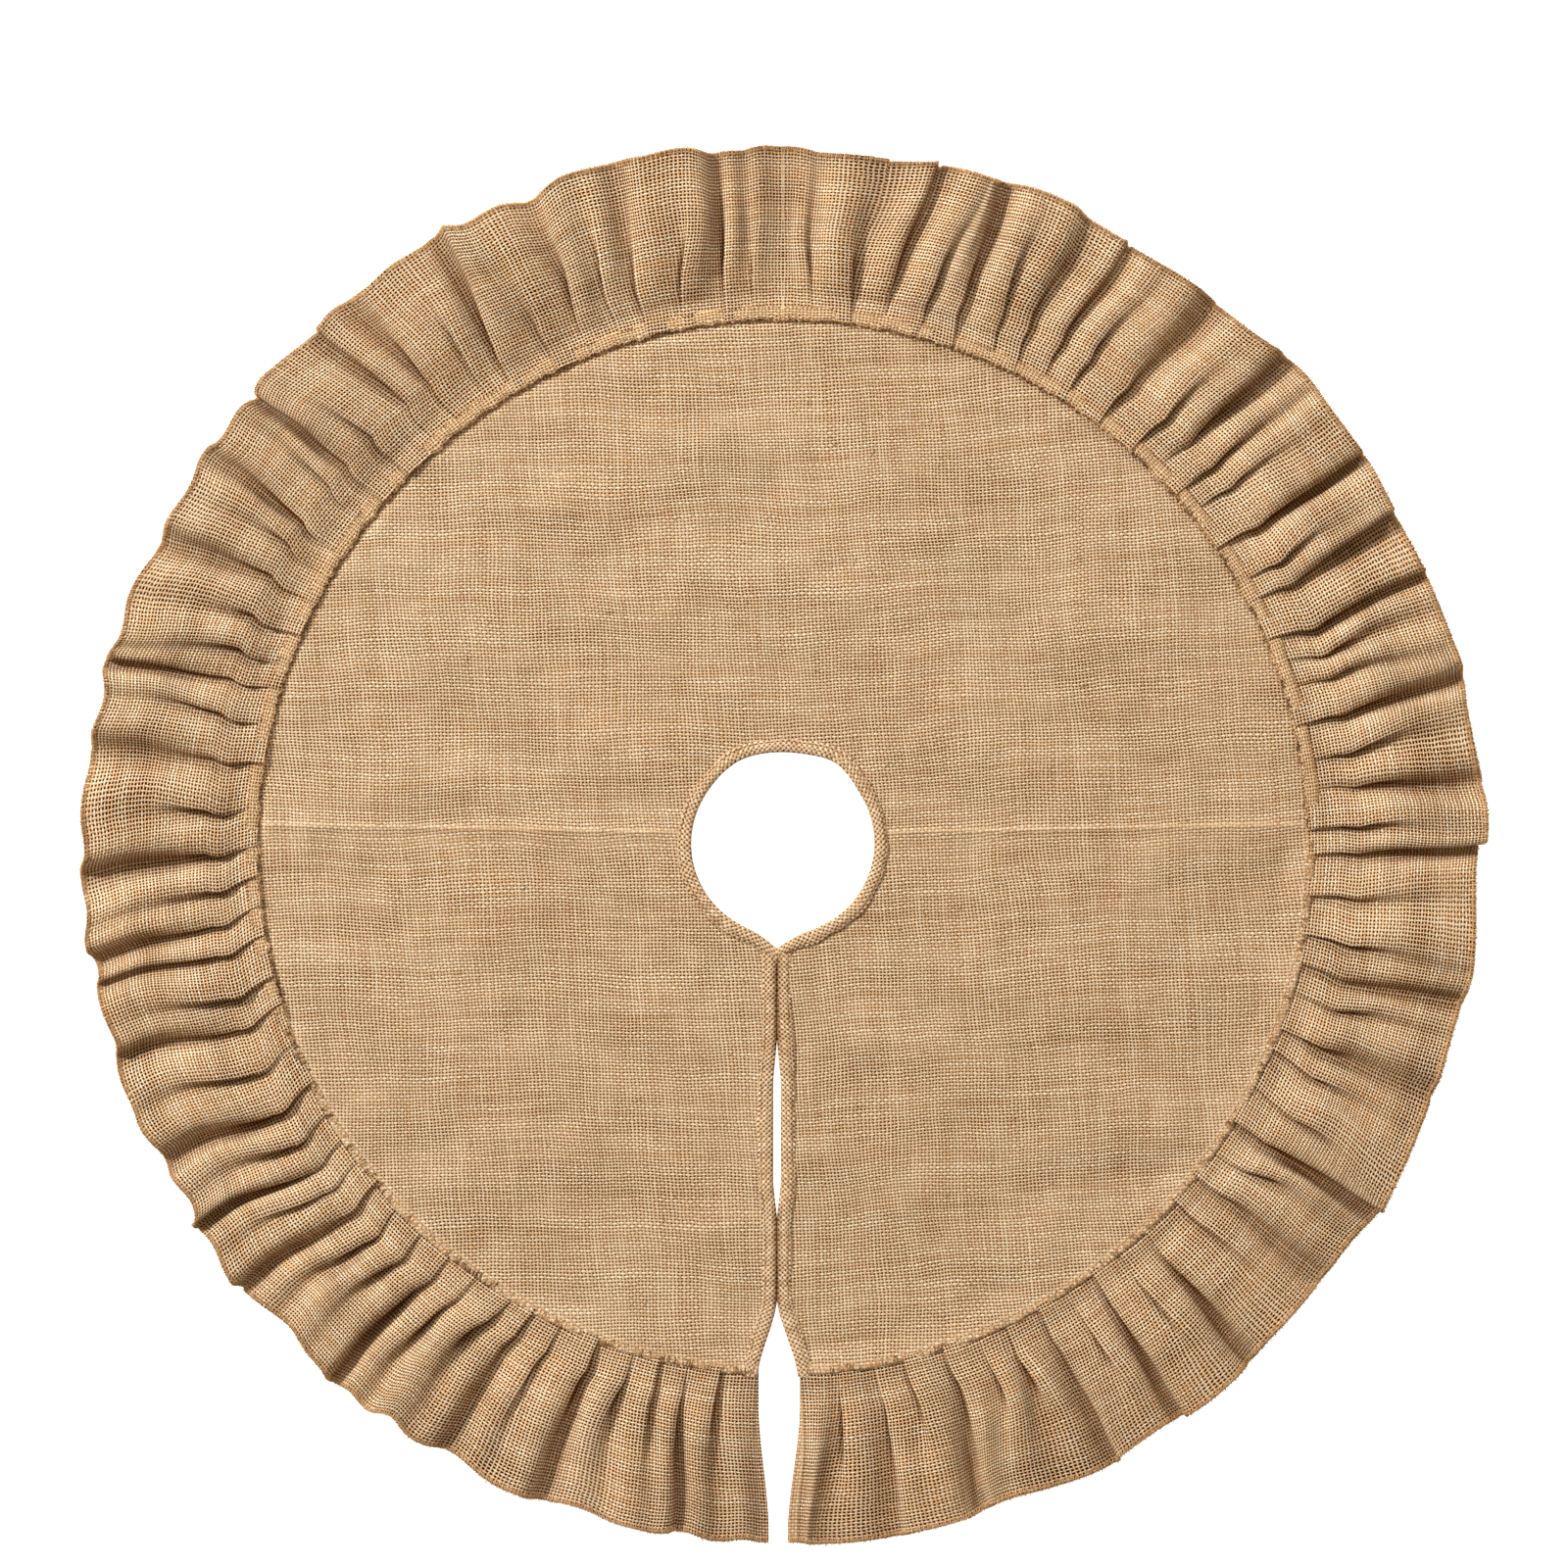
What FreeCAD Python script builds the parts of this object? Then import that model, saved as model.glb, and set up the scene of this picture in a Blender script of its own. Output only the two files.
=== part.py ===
import FreeCAD, Part
import math
import os
import Sketcher

# Burlap tree skirt, lying flat with its right side up.
# Origin: centre of the trunk hole, on the floor. +Z up, and the slit runs towards -Y. Millimetres.

os.makedirs("parts", exist_ok=True)
doc = FreeCAD.newDocument("tree_skirt")
V = FreeCAD.Vector

# ---------------------------------------------------------------- driving dimensions
DIMENSIONS = [
    ("skirt_radius", 609.6),        # 48 inch finished diameter
    ("seam_radius", 461.0),         # inner edge of the ruffle, on the panel
    ("panel_overlap", 11.0),        # how far the panel reaches out under the ruffle's header
    ("header_width", 14.0),         # stitched-down inner edge of the ruffle, before the pleats open
    ("header_lift", 0.2),           # play between the header and the panel under it
    ("overlock_width", 6.0),        # overlocked outer edge of the ruffle
    ("overlock_thickness", 2.0),
    ("overlock_play", 0.1),
    ("neck_radius", 80.5),          # trunk hole, inside the binding
    ("binding_width", 10.5),        # finished width of the folded bias strip
    ("cloth", 1.2),                 # one layer of burlap
    ("crease_gap", 1.0),            # between the back and the front quarters
    ("slit_gap", 3.0),
    ("ruffle_end", 14.0),           # each front ruffle's end, from the middle of the slit
    ("strip_join", 0.1),            # each back ruffle's end, from the middle of the back
    ("pleat_height", 16.0),         # top of a pleat above the floor
    ("pleats", 14.0),               # pleats in one quarter
    ("thread", 0.8),
    ("stitch_inset", 2.0),          # a binding's topstitching, in from its outer edge
]
sheet = doc.addObject("Spreadsheet::Sheet", "Sizes")
for row, (alias, number) in enumerate(DIMENSIONS, start=1):
    sheet.set(f"A{row}", alias)
    sheet.set(f"B{row}", str(number))
    sheet.setAlias(f"B{row}", alias)
doc.recompute()

# Sums of the driving dimensions, as expressions on the sheet
PANEL_RADIUS = "(Sizes.seam_radius + Sizes.panel_overlap)"
NECK_OUTER = "(Sizes.neck_radius + Sizes.binding_width)"
NECK_STEP = "(Sizes.neck_radius + Sizes.binding_width + Sizes.cloth)"
SLIT_SIDE = "(Sizes.slit_gap / 2)"
SLIT_OUTER = "(Sizes.slit_gap / 2 + Sizes.binding_width)"
CREASE_SIDE = "(Sizes.crease_gap / 2)"
CLOTH = "Sizes.cloth"
THREAD = "Sizes.thread"

sub_parts = []


def keep(obj, label):
    obj.Label = label
    sub_parts.append(obj)


def size(text):
    """The number that an expression on the sheet stands for now."""
    return float(sheet.evalExpression(text))


# ---------------------------------------------------------------- primitives and booleans
def bound(kind, name, sizes, foot=("0", "0", "0")):
    """A primitive whose sizes and foot are bound to the sheet."""
    obj = doc.addObject(kind, name)
    for prop, text in sizes.items():
        obj.setExpression(prop, text)
    for axis, text in zip("xyz", foot):
        obj.setExpression("Placement.Base." + axis, text)
    return obj


def disc(name, radius, height):
    return bound("Part::Cylinder", name, {"Radius": radius, "Height": height})


def block(name, sizes, corner):
    return bound("Part::Box", name, dict(zip(("Length", "Width", "Height"), sizes)), corner)


def joined(kind, name, *shapes):
    """A MultiFuse or MultiCommon of the shapes."""
    obj = doc.addObject(kind, name)
    obj.Shapes = list(shapes)
    return obj


def cut(name, base, tool):
    obj = doc.addObject("Part::Cut", name)
    obj.Base = base
    obj.Tool = tool
    return obj


# ---------------------------------------------------------------- sketched bodies
def outline(body, name, role, corners):
    """A closed outline of straight edges, with both coordinates of each corner bound to the sheet."""
    sketch = body.newObject("Sketcher::SketchObject", name)
    plane = [f for f in body.Origin.OriginFeatures if f.Role == role][0]
    sketch.AttachmentSupport = (plane, [""])
    sketch.MapMode = "FlatFace"
    points = [V(size(across), size(up), 0) for across, up in corners]
    for start, end in zip(points, points[1:] + points[:1]):
        sketch.addGeometry(Part.LineSegment(start, end))
    for i in range(len(points)):
        following = (i + 1) % len(points)
        sketch.addConstraint(Sketcher.Constraint("Coincident", i, 2, following, 1))
    for i, corner in enumerate(corners):
        for direction, text in zip(("DistanceX", "DistanceY"), corner):
            index = sketch.addConstraint(Sketcher.Constraint(direction, -1, 1, i, 1, size(text)))
            sketch.setExpression(f"Constraints[{index}]", text)
    return sketch


def trim_to_quarter(body, side, slit_side):
    """Cuts away all of a ring but the back half (side 0), or the left (-1) or right (1) front quarter."""
    reach = "(2 * Sizes.skirt_radius)"
    if side == 0:
        corners = [
            ("-" + reach, "-" + reach),
            (reach, "-" + reach),
            (reach, CREASE_SIDE),
            ("-" + reach, CREASE_SIDE),
        ]
    else:
        corners = [
            (f"{side} * {reach}", "-" + CREASE_SIDE),
            (f"{side} * {slit_side}", "-" + CREASE_SIDE),
            (f"{side} * {slit_side}", "-" + reach),
            (f"{-side} * {reach}", "-" + reach),
            (f"{-side} * {reach}", reach),
            (f"{side} * {reach}", reach),
        ]
    waste = outline(body, body.Name + "_waste", "XY_Plane", corners)
    before = body.Tip.Shape.Volume
    pocket = body.newObject("PartDesign::Pocket", body.Name + "_trim")
    pocket.Profile = waste
    pocket.Type = "ThroughAll"
    pocket.Midplane = True
    doc.recompute()
    assert pocket.Shape.Volume < before, f"{body.Name}: the trim cut nothing"


def ring(label, section, side, slit_side=SLIT_SIDE):
    """A section in radius and height, turned about the trunk axis and trimmed to its quarter."""
    body = doc.addObject("PartDesign::Body", label + "_body")
    sketch = outline(body, body.Name + "_section", "XZ_Plane", section)
    turned = body.newObject("PartDesign::Revolution", body.Name + "_turned")
    turned.Profile = sketch
    turned.ReferenceAxis = (sketch, ["V_Axis"])
    turned.Angle = 360
    doc.recompute()
    trim_to_quarter(body, side, slit_side)
    keep(body, label)


# ---------------------------------------------------------------- panel
# One round of burlap. It lies on the floor, and steps up by one layer where the binding goes under it.
QUARTERS = {"back": 0, "left": -1, "right": 1}
TWO_LAYERS = "(2 * Sizes.cloth)"
SLIT_STEP = "(Sizes.slit_gap / 2 + Sizes.binding_width + Sizes.cloth)"


def slit_block(name, half_width, height):
    """A block astride the slit, from the trunk axis out past the panel's edge."""
    return block(
        name,
        ("2 * " + half_width, "Sizes.skirt_radius", height),
        ("-" + half_width, "-Sizes.skirt_radius", "0"),
    )


def panel(label, side):
    """One division of the panel."""
    lying = disc(label + "_lying", PANEL_RADIUS, CLOTH)
    collar = disc(label + "_collar", NECK_STEP, TWO_LAYERS)
    lips = slit_block(label + "_lips", SLIT_STEP, TWO_LAYERS)
    rim = disc(label + "_rim", PANEL_RADIUS, TWO_LAYERS)
    raised = joined("Part::MultiCommon", label + "_raised", lips, rim)
    whole = joined("Part::MultiFuse", label + "_whole", lying, collar, raised)
    under_neck = disc(label + "_under_neck", NECK_OUTER, CLOTH)
    under_slit = slit_block(label + "_under_slit", SLIT_OUTER, CLOTH)
    hole = disc(label + "_hole", "Sizes.neck_radius + Sizes.cloth", TWO_LAYERS)
    slit = slit_block(label + "_slit", "(Sizes.slit_gap / 2 + Sizes.cloth)", TWO_LAYERS)
    waste = joined("Part::MultiFuse", label + "_cut_away", under_neck, under_slit, hole, slit)
    open_panel = cut(label + "_open", whole, waste)
    if side == 0:
        corner = ("-" + PANEL_RADIUS, CREASE_SIDE, "0")
        sizes = ("2 * " + PANEL_RADIUS, PANEL_RADIUS, TWO_LAYERS)
    else:
        corner = ("0" if side > 0 else "-" + PANEL_RADIUS, f"-{PANEL_RADIUS} - {CREASE_SIDE}", "0")
        sizes = (PANEL_RADIUS, PANEL_RADIUS, TWO_LAYERS)
    quarter = block(label + "_quarter", sizes, corner)
    keep(joined("Part::MultiCommon", label + "_part", open_panel, quarter), label)


panel("panel_back", 0)
panel("panel_front_left", -1)
panel("panel_front_right", 1)


# ---------------------------------------------------------------- bindings
# A bias strip folded over the raw edge: a U in section, one layer below, one above and one round the edge.
def folded_strip(inner, outer):
    """The U section, from its fold at the inner coordinate to its open side at the outer one."""
    fold = f"({inner} + Sizes.cloth)"
    return [
        (inner, "0"),
        (outer, "0"),
        (outer, CLOTH),
        (fold, CLOTH),
        (fold, TWO_LAYERS),
        (outer, TWO_LAYERS),
        (outer, "3 * Sizes.cloth"),
        (inner, "3 * Sizes.cloth"),
    ]


for place, side in QUARTERS.items():
    ring("neck_binding_" + place, folded_strip("Sizes.neck_radius", NECK_OUTER), side)


def slit_binding(label, side):
    """The same strip along one edge of the slit, from the neck binding to the panel's rim."""
    body = doc.addObject("PartDesign::Body", label + "_body")
    corners = [(f"{side} * {across}", up) for across, up in folded_strip(SLIT_SIDE, SLIT_OUTER)]
    sketch = outline(body, body.Name + "_section", "XZ_Plane", corners)
    sketch.setExpression("AttachmentOffset.Base.z", NECK_OUTER)
    pad = body.newObject("PartDesign::Pad", body.Name + "_pad")
    pad.Profile = sketch
    pad.setExpression("Length", f"{PANEL_RADIUS} - {NECK_OUTER}")
    keep(body, label)


slit_binding("slit_binding_left", -1)
slit_binding("slit_binding_right", 1)


# ---------------------------------------------------------------- ruffle
# A strip of burlap with a flat header on the panel's edge and pleats that open towards the rim.
# One pleat repeats over six rows of control points: a valley on the floor, then a crest. The crest's own
# point stands above 1 so that the smooth surface, which cuts inside its control points, tops out at 1.
PLEAT = (0.0, 0.0, 0.6, 1.2, 0.6, 0.0)


def clamped_knots(count, degree):
    """Even knots and their multiplicities for an open spline with this many control points."""
    knots = [float(i) for i in range(count - degree + 1)]
    mults = [degree + 1] + [1] * (len(knots) - 2) + [degree + 1]
    return knots, mults


def wavy_sheet(stations, thickness, end_play, sign_x, sign_y):
    """A closed sheet between two planes, whose middle layer has a level and a wave height at each radius."""
    pleats = int(size("Sizes.pleats"))
    crease_side = size(CREASE_SIDE)
    steps = pleats * len(PLEAT) + 1
    faces_of = {}
    for lift in (-thickness / 2, thickness / 2):
        poles = []
        for step in range(steps):
            row = []
            for radius, level, wave in stations:
                first = math.asin(crease_side / radius)
                last = math.pi / 2 - math.asin(end_play / radius)
                turn = first + (last - first) * step / (steps - 1)
                height = level + wave * PLEAT[step % len(PLEAT)] + lift
                row.append(V(sign_x * radius * math.cos(turn), sign_y * radius * math.sin(turn), height))
            poles.append(row)
        around, around_mults = clamped_knots(steps, 3)
        out, out_mults = clamped_knots(len(stations), 2)
        surface = Part.BSplineSurface()
        surface.buildFromPolesMultsKnots(
            poles, around_mults, out_mults, around, out, False, False, 3, 2
        )
        borders = [
            surface.uIso(around[0]),
            surface.uIso(around[-1]),
            surface.vIso(out[0]),
            surface.vIso(out[-1]),
        ]
        faces_of[lift] = (surface.toShape(), [border.toShape() for border in borders])
    (lower, lower_edges), (upper, upper_edges) = faces_of.values()
    walls = [Part.makeRuledSurface(a, b) for a, b in zip(lower_edges, upper_edges)]
    shell = Part.makeShell([lower, upper] + walls)
    shell.sewShape()
    solid = Part.makeSolid(shell)
    if solid.Volume < 0:
        solid.reverse()
    return solid


def ruffle_stations(cloth):
    """Radius, level and wave height of the ruffle's middle layer, from the header out to the overlock."""
    seam = size("Sizes.seam_radius")
    opening = seam + size("Sizes.header_width")
    rim = size("Sizes.skirt_radius - Sizes.overlock_width - Sizes.overlock_play")
    on_panel = size("1.5 * Sizes.cloth + Sizes.header_lift")
    on_floor = cloth / 2
    full = size("Sizes.pleat_height") - cloth
    return [
        (seam, on_panel, 0.0),
        ((seam + opening) / 2, on_panel, 0.0),
        (opening, on_panel, 0.0),
        (opening + 0.06 * (rim - opening), (on_panel + on_floor) / 2, 0.25 * full),
        (opening + 0.20 * (rim - opening), on_floor, 0.60 * full),
        (opening + 0.50 * (rim - opening), on_floor, full),
        (rim, on_floor, full),
    ]


def overlock_stations(thickness):
    """The same for the overlocked rim."""
    outer = size("Sizes.skirt_radius")
    inner = outer - size("Sizes.overlock_width")
    full = size("Sizes.pleat_height") - thickness
    return [(radius, thickness / 2, full) for radius in (inner, (inner + outer) / 2, outer)]


def shaped(label, shape):
    feature = doc.addObject("Part::Feature", label + "_shape")
    feature.Shape = shape
    feature.Placement = FreeCAD.Placement()
    keep(feature, label)


CORNERS = {
    "back_left": (-1, 1, "Sizes.strip_join"),
    "back_right": (1, 1, "Sizes.strip_join"),
    "front_left": (-1, -1, "Sizes.ruffle_end"),
    "front_right": (1, -1, "Sizes.ruffle_end"),
}
for place, (sign_x, sign_y, end) in CORNERS.items():
    cloth = size(CLOTH)
    wrap = size("Sizes.overlock_thickness")
    strip = wavy_sheet(ruffle_stations(cloth), cloth, size(end), sign_x, sign_y)
    shaped("ruffle_" + place, strip)
    edge = wavy_sheet(overlock_stations(wrap), wrap, size(end), sign_x, sign_y)
    shaped("rim_overlock_" + place, edge)


# ---------------------------------------------------------------- threads
# Each row of stitching is drawn as the continuous needle thread, lying on the layer that it holds down.
def thread_section(middle, top):
    inner = f"({middle} - Sizes.thread / 2)"
    outer = f"({middle} + Sizes.thread / 2)"
    return [(inner, top), (outer, top), (outer, f"{top} + {THREAD}"), (inner, f"{top} + {THREAD}")]


BINDING_TOP = "3 * Sizes.cloth"
HEADER_TOP = "(2 * Sizes.cloth + Sizes.header_lift)"
HEADER_ROW = "(Sizes.seam_radius + Sizes.panel_overlap / 2)"
for place, side in QUARTERS.items():
    neck_row = f"({NECK_OUTER} - Sizes.stitch_inset)"
    ring("neck_thread_" + place, thread_section(neck_row, BINDING_TOP), side)
    ring("ruffle_seam_thread_" + place, thread_section(HEADER_ROW, HEADER_TOP), side, "Sizes.ruffle_end")


def slit_thread(label, side):
    """The straight row of topstitching on one slit binding."""
    middle = f"({SLIT_OUTER} - Sizes.stitch_inset)"
    near = f"{middle} - Sizes.thread / 2" if side > 0 else f"-{middle} - Sizes.thread / 2"
    sizes = (THREAD, f"{PANEL_RADIUS} - {NECK_OUTER}", THREAD)
    keep(block(label + "_run", sizes, (near, "-" + PANEL_RADIUS, BINDING_TOP)), label)


slit_thread("slit_thread_left", -1)
slit_thread("slit_thread_right", 1)

# ---------------------------------------------------------------- checks and STEP files
doc.recompute()
for obj in doc.Objects:
    assert not {"Invalid", "Error"} & set(obj.State), f"{obj.Name} failed: {obj.State}"
for obj in sub_parts:
    assert not obj.Shape.isNull() and obj.Shape.isValid(), f"{obj.Label} has no valid shape"
    assert obj.Shape.Volume > 0, f"{obj.Label} is empty or inside out"
for obj in sub_parts:
    obj.Shape.exportStep(f"parts/{obj.Label}.step")
    low = obj.Shape.BoundBox
    print(obj.Label, len(obj.Shape.Solids), round(obj.Shape.Volume), round(low.ZMin, 3), round(low.ZMax, 3))
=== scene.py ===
import bpy
import math
import numpy as np
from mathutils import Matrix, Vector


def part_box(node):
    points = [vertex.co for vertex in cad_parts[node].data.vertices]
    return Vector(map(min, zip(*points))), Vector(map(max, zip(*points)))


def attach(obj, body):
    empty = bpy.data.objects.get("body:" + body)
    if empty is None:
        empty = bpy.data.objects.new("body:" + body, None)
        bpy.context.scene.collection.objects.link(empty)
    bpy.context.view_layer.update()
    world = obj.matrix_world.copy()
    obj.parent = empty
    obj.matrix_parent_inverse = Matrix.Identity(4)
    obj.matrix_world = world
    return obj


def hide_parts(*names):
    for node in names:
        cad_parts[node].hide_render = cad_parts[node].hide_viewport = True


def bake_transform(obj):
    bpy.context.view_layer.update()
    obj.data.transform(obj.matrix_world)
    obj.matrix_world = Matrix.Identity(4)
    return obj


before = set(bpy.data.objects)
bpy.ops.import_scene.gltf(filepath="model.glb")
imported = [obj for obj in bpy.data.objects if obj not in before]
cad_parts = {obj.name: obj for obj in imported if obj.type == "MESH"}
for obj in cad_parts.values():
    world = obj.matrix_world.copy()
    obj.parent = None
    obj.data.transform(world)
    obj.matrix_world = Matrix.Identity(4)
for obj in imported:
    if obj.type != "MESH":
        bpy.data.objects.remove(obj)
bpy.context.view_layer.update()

# ----------------
# Camera, light and ground.
# The skirt lies flat and is looked at from straight above with a long lens. The main soft light is low
# and far off to the left, a weaker one stands behind the skirt, and a warm one overhead stands for the
# light that folds of jute throw on each other. The ground is white and runs out past the view.
# ----------------
rim_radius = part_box("rim_overlock_back_right")[1].x
view_width = 2.2466 * rim_radius
view_middle = (0.0009, 0.0526)
camera_height = 4.2
camera_data = bpy.data.cameras.new("overhead_camera")
camera_data.sensor_width = 36.0
camera_data.lens = 36.0 * camera_height / view_width
camera = bpy.data.objects.new("overhead_camera", camera_data)
camera.location = (*view_middle, camera_height)
bpy.context.scene.collection.objects.link(camera)
bpy.context.scene.camera = camera


def soft_light(name, place, size, power, colour):
    """A square area light that faces the middle of the skirt."""
    data = bpy.data.lights.new(name, "AREA")
    data.size = size
    data.energy = power
    data.color = colour
    lamp = bpy.data.objects.new(name, data)
    lamp.location = place
    lamp.rotation_euler = (-lamp.location).to_track_quat("-Z", "Y").to_euler()
    bpy.context.scene.collection.objects.link(lamp)


lamp_white = (1.0, 0.995, 0.96)
jute_glow = (1.0, 0.76, 0.46)
soft_light("key_softbox", (-5.7, 3.7, 3.9), 0.9, 735.0, lamp_white)
soft_light("side_softbox", (1.8, 5.2, 2.5), 1.3, 170.0, lamp_white)
soft_light("warm_bounce", (0.6, -0.6, 5.0), 3.0, 55.0, jute_glow)

world = bpy.data.worlds.new("studio")
bpy.context.scene.world = world
world.use_nodes = True
studio_air = world.node_tree.nodes["Background"].inputs
studio_air["Color"].default_value = (1.0, 1.0, 1.0, 1.0)
studio_air["Strength"].default_value = 0.10
bpy.context.scene.view_settings.view_transform = "Standard"

bpy.ops.object.select_all(action="DESELECT")
ground_level = -0.0004
bpy.ops.mesh.primitive_plane_add(size=60.0, location=(0.0, 0.0, ground_level))
ground = bpy.context.object
ground.name = "ground"
ground_paint = bpy.data.materials.new("white_ground")
ground_paint.use_nodes = True
paint = ground_paint.node_tree.nodes["Principled BSDF"].inputs
paint["Base Color"].default_value = (0.9, 0.9, 0.9, 1.0)
paint["Roughness"].default_value = 0.9
paint["Emission Color"].default_value = (1.0, 1.0, 1.0, 1.0)
paint["Emission Strength"].default_value = 0.92
ground.data.materials.append(ground_paint)

# ----------------
# Burlap cloth.
# Plain-weave jute, about eight yarns to the inch, with thick and thin places in every yarn and small
# open holes between them. The holes are painted dark brown as painted shade, the yarns' low sides get
# painted shade, and a stored mark adds painted shade under the edges of folds. Each cloth piece is a
# sheet of points that carries its own flat-cloth coordinates in metres, so that the weave follows the
# cloth into every fold.
# ----------------
cloth_thickness = 0.0009
yarn_pitch = 0.0031
weft_crowding = 0.93
yarn_crimp = 0.22
yarn_unevenness = 0.42
yarn_wobble = 0.0016
warp_shade_from_light = -0.26
warp_streaks = 0.25
weft_streaks = 0.32
# Painted shade tints: the first darkens the yarns down their low sides, the second darkens cloth under the
# edge of a fold.
yarn_shade_tint = (0.34, 0.205, 0.08)
fold_shade_tint = (0.24, 0.125, 0.045)


def tone(red, green, blue):
    """A colour as a person reads it off a swatch (0 to 255), as the linear light that shaders use."""
    def linear(level):
        level /= 255.0
        return level / 12.92 if level <= 0.04045 else ((level + 0.055) / 1.055) ** 2.4
    return (linear(red), linear(green), linear(blue), 1.0)


def wire(tree, kind, inputs, output=0, **settings):
    """Adds a shader node, sets it up, feeds its inputs with sockets or values, and gives one output."""
    node = tree.nodes.new("ShaderNode" + kind)
    for name, value in settings.items():
        setattr(node, name, value)
    for key, value in inputs.items():
        if isinstance(value, bpy.types.NodeSocket):
            tree.links.new(value, node.inputs[key])
        else:
            node.inputs[key].default_value = value
    return node.outputs[output]


def maths(tree, operation, a, b=0.0, c=0.0):
    return wire(tree, "Math", {0: a, 1: b, 2: c}, operation=operation)


def vectors(tree, operation, first, second):
    return wire(tree, "VectorMath", {0: first, 1: second}, operation=operation)


def scaled(tree, vector, share):
    return wire(tree, "VectorMath", {0: vector, "Scale": share}, operation="SCALE")


def blend_colour(tree, share, first, second):
    settings = {"data_type": "RGBA", "clamp_factor": True}
    return wire(tree, "Mix", {0: share, 6: first, 7: second}, output=2, **settings)


def fade(tree, value, low, high):
    """0 below low, 1 above high, and a smooth rise between them."""
    settings = {"interpolation_type": "SMOOTHSTEP", "clamp": True}
    return wire(tree, "MapRange", {0: value, 1: low, 2: high, 3: 0.0, 4: 1.0}, **settings)


def grain(tree, first, second, third, detail):
    """A noise between 0 and 1 over three numbers."""
    place = wire(tree, "CombineXYZ", {0: first, 1: second, 2: third})
    return wire(tree, "TexNoise", {"Vector": place, "Scale": 1.0, "Detail": detail}, noise_dimensions="3D")


def yarn_set(tree, across, along, width, seed, streaky):
    """One direction of yarns: their round section, their rise over and under, and their own tint."""
    index = maths(tree, "FLOOR", across)
    offset = maths(tree, "SUBTRACT", maths(tree, "SUBTRACT", across, index), 0.5)
    slub = grain(tree, maths(tree, "MULTIPLY", index, 7.31), maths(tree, "MULTIPLY", along, 0.085), seed, 2.0)
    slub_swing = maths(tree, "MULTIPLY", maths(tree, "SUBTRACT", slub, 0.5), yarn_unevenness)
    own_width = maths(tree, "ADD", width, slub_swing)
    ratio = maths(tree, "DIVIDE", maths(tree, "MULTIPLY", offset, 2.0), own_width)
    inside = maths(tree, "SUBTRACT", 1.0, maths(tree, "MULTIPLY", ratio, ratio))
    section = maths(tree, "SQRT", maths(tree, "MAXIMUM", inside, 0.0))
    phase = maths(tree, "SUBTRACT", maths(tree, "SUBTRACT", along, 0.5), index)
    swing = maths(tree, "COSINE", maths(tree, "MULTIPLY", phase, math.pi))
    tint = wire(tree, "TexWhiteNoise", {"W": maths(tree, "ADD", index, seed)}, noise_dimensions="1D")
    twist = maths(tree, "ADD", maths(tree, "MULTIPLY", across, 9.0), maths(tree, "MULTIPLY", along, 4.0))
    streak = grain(tree, twist, maths(tree, "MULTIPLY", along, 1.3), seed, 2.0)
    own_tint = maths(tree, "ADD", maths(tree, "MULTIPLY", tint, 0.10), maths(tree, "MULTIPLY", slub, 0.16))
    own_tint = maths(tree, "ADD", own_tint, maths(tree, "MULTIPLY", streak, 0.80))
    lot = maths(tree, "MULTIPLY", index, 0.55)
    run = grain(tree, lot, maths(tree, "MULTIPLY", along, 0.032), seed + 5.0, 3.0)
    run = maths(tree, "MULTIPLY", maths(tree, "SUBTRACT", run, 0.5), streaky)
    return section, swing, maths(tree, "ADD", own_tint, run), streak


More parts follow.
